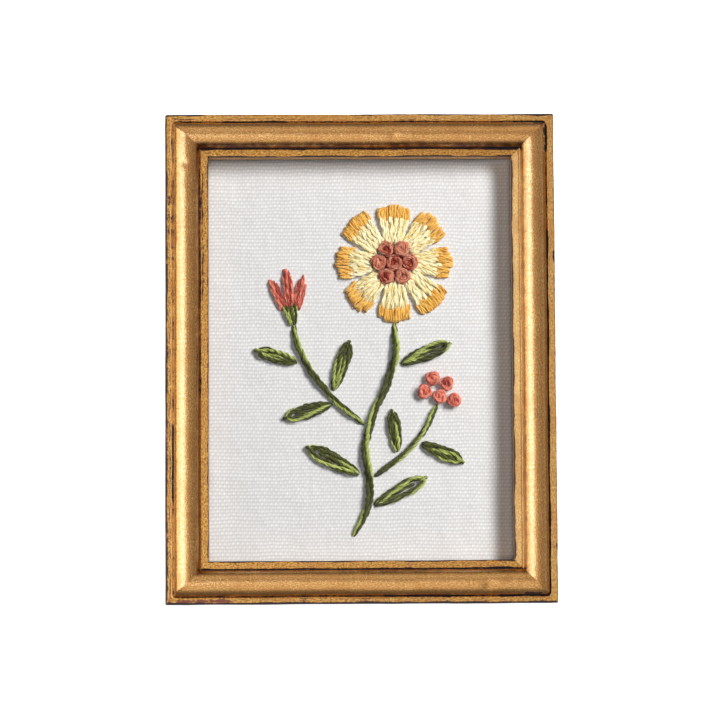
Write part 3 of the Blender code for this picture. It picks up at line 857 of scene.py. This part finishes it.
def wool_tree():
    """Stitch lines become plied wool: strands wound round each line, drawn in at its ends.

    The lines' points carry thick, the yarn's radius in metres, tone, its dye, and phase, where its twist
    starts.
    """
    tree, add, start = start_tree("plied wool", {
        "Strands": "NodeSocketInt", "Plies": "NodeSocketInt", "Spread": NUMBER,
        "Ply Size": NUMBER, "Strand Size": NUMBER, "Lay": NUMBER,
        "Own Twist": NUMBER, "Step": NUMBER, "Stray": NUMBER,
        "Two Tone": NUMBER, "Wool": FINISH})
    full_turn = 2.0 * math.pi
    lines = add("GeometryNodeMeshToCurve", {"Mesh": start["Geometry"]})
    lines = add("GeometryNodeResampleCurve", {"Curve": lines, "Length": start["Step"]}, mode="LENGTH")
    lines = add("GeometryNodeSetCurveNormal", {"Curve": lines}, mode="Z_UP")
    # Full size along most of the line, drawn in by half at its very ends
    factor = add("GeometryNodeSplineParameter", out="Factor")
    away = add(MATH, add(MATH, factor, 2.0, -1.0, **TIMES_PLUS), operation="ABSOLUTE")
    taper = add(MATH, add(MATH, away, 9.0, operation="POWER"), -0.55, 1.0, **TIMES_PLUS)
    lines = add(STORE, {"Geometry": lines, "Name": "taper", "Value": taper})
    doubled = add("GeometryNodeDuplicateElements", {"Geometry": lines, "Amount": start["Strands"]},
                  domain="SPLINE")
    ply = add(MATH, doubled.node.outputs["Duplicate Index"], start["Plies"], operation="MODULO")
    strands = add(STORE, {"Geometry": doubled, "Name": "ply", "Value": ply}, domain="CURVE")
    # A Random Value node's inputs 2 and 3 are its limits, and 8 is its seed
    for seed, (name, most) in enumerate((("around", full_turn), ("out", 1.0), ("shade", 1.0)), 3):
        chance = add("FunctionNodeRandomValue", {2: 0.0, 3: most, 8: seed}, out=1, data_type="FLOAT")
        strands = add(STORE, {"Geometry": strands, "Name": name, "Value": chance}, domain="CURVE")

    ply, around, out, thick, phase, tone, taper = [
        add(READ, {"Name": name}) for name in ("ply", "around", "out", "thick", "phase", "tone", "taper")]
    length = add("GeometryNodeSplineParameter", out="Length")
    twist = add(MATH, add(MATH, length, start["Lay"], **OVER), full_turn, phase, **TIMES_PLUS)
    ply_turn = add(MATH, add(MATH, ply, start["Plies"], **OVER), full_turn, twist, **TIMES_PLUS)
    strand_turn = add(MATH, twist, start["Own Twist"], around, **TIMES_PLUS)
    ply_out = add(MATH, thick, start["Spread"], **TIMES)
    ply_size = add(MATH, thick, start["Ply Size"], **TIMES)
    strand_out = add(MATH, add(MATH, out, 0.6, operation="POWER"), ply_size, **TIMES)

    def along_axis(function):
        """How far a strand stands off its line in one direction: its ply's place and its own in the ply."""
        own = add(MATH, strand_out, add(MATH, strand_turn, operation=function), **TIMES)
        return add(MATH, ply_out, add(MATH, ply_turn, operation=function), own, **TIMES_PLUS)

    # Pressed a little flat against the cloth
    flatness = 0.8
    aside = add(MATH, along_axis("COSINE"), taper, **TIMES)
    above = add(MATH, add(MATH, along_axis("SINE"), taper, **TIMES), flatness, **TIMES)
    normal = add("GeometryNodeInputNormal")
    upright = add(VECTOR_MATH, normal, add("GeometryNodeInputTangent"), operation="CROSS_PRODUCT")
    aside = add(VECTOR_MATH, normal, {"Scale": aside}, operation="SCALE")
    above = add(VECTOR_MATH, upright, {"Scale": above}, operation="SCALE")
    offset = add(VECTOR_MATH, aside, above, **PLUS)
    # Each strand strays a little in its own way
    place = add("GeometryNodeInputPosition")
    stray = add(NOISE, {"Vector": place, "W": around, "Scale": 420.0, "Detail": 1.0},
                out="Color", noise_dimensions="4D")
    stray = add(VECTOR_MATH, stray, (0.5, 0.5, 0.5), **MINUS)
    stray_size = add(MATH, thick, start["Stray"], **TIMES)
    stray = add(VECTOR_MATH, stray, {"Scale": stray_size}, operation="SCALE")
    offset = add(VECTOR_MATH, offset, stray, **PLUS)
    strands = add("GeometryNodeSetPosition", {"Geometry": strands, "Offset": offset})
    dyed = add(MIX, start["Two Tone"], {2: tone, 3: ply})
    strands = add(STORE, {"Geometry": strands, "Name": "tone", "Value": dyed})
    section = add("GeometryNodeCurvePrimitiveCircle", {"Resolution": 4, "Radius": 1.0})
    size = add(MATH, add(MATH, thick, start["Strand Size"], **TIMES), taper, **TIMES)
    wool = add("GeometryNodeCurveToMesh", {
        "Curve": strands, "Profile Curve": section, "Scale": size, "Fill Caps": True})
    wool = add("GeometryNodeSetShadeSmooth", {"Geometry": wool})
    wool = add("GeometryNodeRealizeInstances", {"Geometry": wool})
    wool = add("GeometryNodeSetMaterial", {"Geometry": wool, "Material": start["Wool"]})
    add("NodeGroupOutput", {"Geometry": wool})
    return tree


def direction(degrees):
    """Unit vector on the cloth, at an angle anticlockwise from +X."""
    return Vector((math.cos(math.radians(degrees)), math.sin(math.radians(degrees))))


def smooth_route(points, steps_between):
    """Catmull-Rom curve through the points of a route."""
    knots = [Vector(p) for p in points]
    knots = [knots[0] * 2.0 - knots[1]] + knots + [knots[-1] * 2.0 - knots[-2]]
    curve = []
    for a, b, c, d in zip(knots, knots[1:], knots[2:], knots[3:]):
        for i in range(steps_between):
            t = i / steps_between
            curve.append(0.5 * (2.0 * b + (c - a) * t + (2.0 * a - 5.0 * b + 4.0 * c - d) * t * t
                                + (3.0 * b - a - 3.0 * c + d) * t ** 3))
    curve.append(knots[-2])
    return curve


def stitch(flat_points, height, thick, tone, chance):
    """A stitch that comes up through the cloth, lies on it and goes down again."""
    last = len(flat_points) - 1
    below_cloth, steepness = 0.5, 10
    dive = height - STITCH_BASE + below_cloth
    points = [Vector((p.x, p.y, height - dive * abs(2.0 * i / last - 1.0) ** steepness))
              for i, p in enumerate(flat_points)]
    return points, [thick] * len(points), [tone] * len(points), chance.uniform(0.0, 2.0 * math.pi)


def straight_stitch(foot, tip, height, thick, tone, chance):
    """A straight stitch, bowed a little to one side."""
    steps = 12
    bow = 0.03
    aside = Vector((foot.y - tip.y, tip.x - foot.x)) * chance.uniform(-bow, bow)
    flat = [foot.lerp(tip, i / steps) + aside * math.sin(math.pi * i / steps) for i in range(steps + 1)]
    return stitch(flat, height, thick, tone, chance)


def petal_stitches(chance):
    """Each petal is padding under pale strands fanned from the knots, with golden ones over their ends."""
    lines = []
    strands, thick = 6, 0.95
    gold_thick = 0.72 * thick
    padding_foot, padding_short = PETAL_START - 1.8, 3.6
    padding_level, padding_tone = STITCH_BASE + 0.3, 0.35
    strand_foot, strand_level, stagger = PETAL_START - 2.3, STITCH_BASE + 0.62, 0.16
    # Roundness of the petal's end, how far pale strands run under the gold and gold ones over the pale,
    # and how much lower the gold lies
    rounding, under_gold, over_pale, gold_sunk = 3.2, 0.8, 0.5, 0.12
    wedge = math.tan(math.pi / len(PETALS)) * 0.96
    for number, (outer, widest) in enumerate(PETALS):
        outward = direction(270.0 + 360.0 * number / len(PETALS))
        aside = Vector((-outward.y, outward.x))

        def spot(radius, share):
            """A place on the petal: the strands fill their wedge, up to the petal's full width."""
            return BLOOM_CENTRE + outward * radius + aside * min(radius * wedge, widest) * share

        for share in (-0.7, -0.25, 0.25, 0.7):
            lines.append(straight_stitch(spot(padding_foot, share), spot(outer - padding_short, share),
                                         padding_level, thick, padding_tone, chance))
        for i in range(strands):
            share = (i + 0.5) / strands * 2.0 - 1.0
            tip = outer - rounding * (1.0 - math.sqrt(1.0 - share * share)) + chance.uniform(-0.7, 0.3)
            turn = tip - chance.uniform(3.8, 5.8)
            foot = strand_foot + chance.uniform(-0.4, 0.4)
            level = strand_level + stagger * (i % 2)
            lines.append(straight_stitch(spot(foot, share), spot(turn + under_gold, share),
                                         level, thick, 0.0, chance))
            for beside in (-0.5, 0.5):
                side = share + beside / strands
                end = tip - 0.3 * abs(beside)
                lines.append(straight_stitch(spot(turn - over_pale, side), spot(end, side),
                                             level - gold_sunk, gold_thick, 1.0, chance))
    return lines


def knot_stitch(centre, radius, height, core_tone, chance):
    """A French knot: yarn wound more than twice round itself, sinking into its own middle, over a plug."""
    thick = radius * 0.44
    ring = radius - 0.5 * thick
    turns, steps = 2.4, 40
    # Shares of the yarn's way at which it stops climbing, starts sinking and takes its core's dye
    climb_end, sink_start, core_start = 0.7, 0.8, 0.62
    sink_depth, narrowing, drawn_in = 1.1, 0.22, 0.9
    start = chance.uniform(0.0, 2.0 * math.pi)
    lean = direction(chance.uniform(0.0, 360.0)) * 0.12
    points, tones = [], []
    for i in range(steps + 1):
        share = i / steps
        angle = start + 2.0 * math.pi * turns * share
        sunk = max(0.0, (share - sink_start) / (1.0 - sink_start))
        reach = ring * (1.0 - narrowing * share) * (1.0 - drawn_in * sunk)
        around = Vector((math.cos(angle), math.sin(angle))) * reach
        rise = min(share / climb_end, 1.0) * (height - 2.0 * thick)
        points.append(Vector((centre[0] + around.x, centre[1] + around.y,
                              STITCH_BASE + thick + rise - sink_depth * sunk + around.dot(lean))))
        tones.append(core_tone * min(max((share - core_start) * 6.0, 0.0), 1.0))
    knot = points, [thick] * len(points), tones, start
    plug_foot = Vector((centre[0], centre[1] - ring * 0.5))
    plug_tip = Vector((centre[0], centre[1] + ring * 0.5))
    plug = straight_stitch(plug_foot, plug_tip, STITCH_BASE + height * 0.5, thick * 1.3, core_tone, chance)
    return [knot, plug]


def centre_knots(chance):
    """A knot in the middle and a ring round it, every second one dark at heart, on dark red padding."""
    reach, level, thick, dark, height = 6.0, STITCH_BASE + 0.55, 0.9, 1.0, 2.9
    lines = []
    for angle in range(0, 180, 20):
        away = direction(angle) * reach
        lines.append(straight_stitch(BLOOM_CENTRE - away, BLOOM_CENTRE + away, level, thick, dark, chance))
    spots = [(BLOOM_CENTRE, dark)]
    for number in range(CENTRE_KNOT_COUNT):
        spot = BLOOM_CENTRE + direction(60.0 * number) * CENTRE_KNOT_RING
        spots.append((spot, 0.0 if number % 2 else dark))
    for spot, tone in spots:
        lines += knot_stitch(spot, CENTRE_KNOT_RADIUS, height, tone, chance)
    return lines


def berry_knots(chance):
    """Five knots, every second one with a wine-red heart."""
    height, wine = 2.6, 0.8
    return [line for number, spot in enumerate(BERRIES)
            for line in knot_stitch(spot, BERRY_RADIUS, height, number % 2 * wine, chance)]


def stem_stitches(chance):
    """Each stem is one long line of two-tone yarn, half sunk in the cloth."""
    return [stitch(smooth_route(route, 12), STITCH_BASE + 0.55 * half_width, half_width, 0.5, chance)
            for half_width, route in STEMS.values()]


def leaf_stitches(leaf, chance):
    """A detached chain: a loop drawn to a point at its foot, tied down at its tip, with a stitch inside."""
    x, y, degrees, length, widest = leaf
    foot, ahead = Vector((x, y)), direction(degrees)
    aside = Vector((-ahead.y, ahead.x))
    thick, steps, level, tone = 1.2, 36, STITCH_BASE + 0.7, 0.5
    loop = []
    for i in range(steps + 1):
        angle = 2.0 * math.pi * i / steps
        forward = 0.5 * (1.0 - math.cos(angle))
        wide = (widest - thick) * math.sin(angle) * (0.45 + 0.65 * forward)
        loop.append(foot + ahead * forward * (length - thick) + aside * wide)
    # A short thin tie over the tip, and one long stitch inside the loop
    tie = foot + ahead * (length - 2.2), foot + ahead * (length + 0.5)
    inside = foot + ahead * 0.12 * length, foot + ahead * (0.78 * length)
    return [stitch(loop, level, thick, tone, chance),
            straight_stitch(*tie, level + 0.35, 0.75, tone, chance),
            straight_stitch(*inside, level - 0.15, 0.95, tone, chance)]


def bud_stitches(chance):
    """Thin strands side by side, longer in the middle of each petal."""
    lines = []
    strands, thick, in_cup, dyes = 5, 0.62, 0.8, (0.0, 0.0, 0.3, 0.9)
    for x, y, degrees, length, widest in BUD_PETALS:
        foot, ahead = Vector((x, y)), direction(degrees)
        aside = Vector((-ahead.y, ahead.x))
        for i in range(strands):
            share = (i + 0.5) / strands * 2.0 - 1.0
            tip = length * (1.0 - 0.28 * share * share) + chance.uniform(-0.9, 0.4)
            level = STITCH_BASE + 0.6 + 0.15 * (i % 2)
            lines.append(straight_stitch(foot + aside * widest * 0.6 * share - ahead * in_cup,
                                         foot + aside * widest * share * 0.9 + ahead * tip,
                                         level, thick, chance.choice(dyes), chance))
    return lines


def cup_stitches(chance):
    """The bud's green cup: short stitches fanned from its foot."""
    x, y, degrees, length, widest = BUD_CUP
    foot, ahead = Vector((x, y)), direction(degrees)
    aside = Vector((-ahead.y, ahead.x))
    thick, level = 0.95, STITCH_BASE + 0.7
    lines = []
    for share in (-1.0, -0.35, 0.35, 1.0):
        tip = foot + aside * (widest - 0.9) * share + ahead * (length + 1.8 * abs(share))
        lines.append(straight_stitch(foot + aside * widest * 0.25 * share, tip, level, thick, 0.5, chance))
    return lines


def line_mesh(name, lines):
    """Stitch lines as loose edges whose points carry the yarn's radius, dye and start of twist."""
    mesh = bpy.data.meshes.new(name)
    places, edges, thicks, tones, phases = [], [], [], [], []
    for points, thick, tone, phase in lines:
        first = len(places)
        places += [tuple(p * MM) for p in points]
        edges += [(first + i, first + i + 1) for i in range(len(points) - 1)]
        thicks += [t * MM for t in thick]
        tones += tone
        phases += [phase] * len(points)
    mesh.from_pydata(places, edges, [])
    add_attribute(mesh, "thick", thicks)
    add_attribute(mesh, "tone", tones)
    add_attribute(mesh, "phase", phases)
    return mesh


def add_needlework():
    """Every piece of needlework, in the wool and the kind of yarn that it is worked in."""
    tree = wool_tree()
    yellow = dyed_wool("pale yellow and gold wool", "E3C670", "FDF4CE", "CC8A2C", "F8C766")
    red = dyed_wool("terracotta and dark red wool", "9E4C38", "DE9474", "5E1A12", "A63A28")
    green = dyed_wool("lime and olive wool", "6C7A28", "C4CC72", "1C1D0A", "62652A")
    coral = dyed_wool("coral and wine wool", "BC4636", "F59C82", "6E1E24", "BA4E3C")
    sewing = {"Strands": 10, "Plies": 2, "Spread": 0.42, "Ply Size": 0.45, "Strand Size": 0.3,
              "Lay": 7.0 * MM, "Own Twist": -1.6, "Step": 0.8 * MM, "Stray": 0.35, "Two Tone": 0.0}
    loose = {**sewing, "Spread": 0.24, "Ply Size": 0.6, "Strand Size": 0.34, "Lay": 9.0 * MM, "Stray": 0.25}
    # One ply in three is lime, the others are olive
    roving = {**sewing, "Strands": 24, "Plies": 3, "Spread": 0.5, "Ply Size": 0.4, "Strand Size": 0.18,
              "Lay": 40.0 * MM, "Own Twist": -8.0, "Step": 0.5 * MM, "Stray": 0.4, "Two Tone": 1.0}
    chained = {**roving, "Strands": 18, "Strand Size": 0.22, "Lay": 30.0 * MM, "Own Twist": -6.0}
    knotted = {**sewing, "Strands": 14, "Step": 0.6 * MM, "Strand Size": 0.24}
    for name, lines, wool, slot, sizes, nodes in (
            ("bloom_petals", petal_stitches(random.Random(3)), yellow, "yellow_yarn", loose,
             [f"petal_{i + 1}" for i in range(len(PETALS))]),
            ("centre_french_knots", centre_knots(random.Random(5)), red, "terracotta_yarn", knotted,
             [f"centre_knot_{i + 1}" for i in range(CENTRE_KNOT_COUNT + 1)]),
            ("stem_stitches", stem_stitches(random.Random(7)), green, "green_yarn", roving, list(STEMS)),
            ("leaf_chain_stitches",
             [line for leaf, chance in zip(LEAVES, map(random.Random, range(20, 20 + len(LEAVES))))
              for line in leaf_stitches(leaf, chance)], green, "green_yarn", chained,
             [f"leaf_{i + 1}" for i in range(len(LEAVES))]),
            ("bud_strands", bud_stitches(random.Random(11)), coral, "coral_yarn", sewing,
             [f"bud_petal_{i + 1}" for i in range(len(BUD_PETALS))]),
            ("bud_cup_stitches", cup_stitches(random.Random(13)), green, "green_yarn", chained, ["bud_cup"]),
            ("berry_french_knots", berry_knots(random.Random(17)), coral, "coral_yarn", knotted,
             [f"berry_{i + 1}" for i in range(len(BERRIES))])):
        piece = grow(name, line_mesh(f"{name} lines", lines), tree, {**sizes, "Wool": wool})
        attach(piece, "root")
        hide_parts(*nodes)


add_floor()
add_surroundings()
add_light()
add_camera()
add_gilt_frame()
add_linen()
finish_boards()
add_needlework()
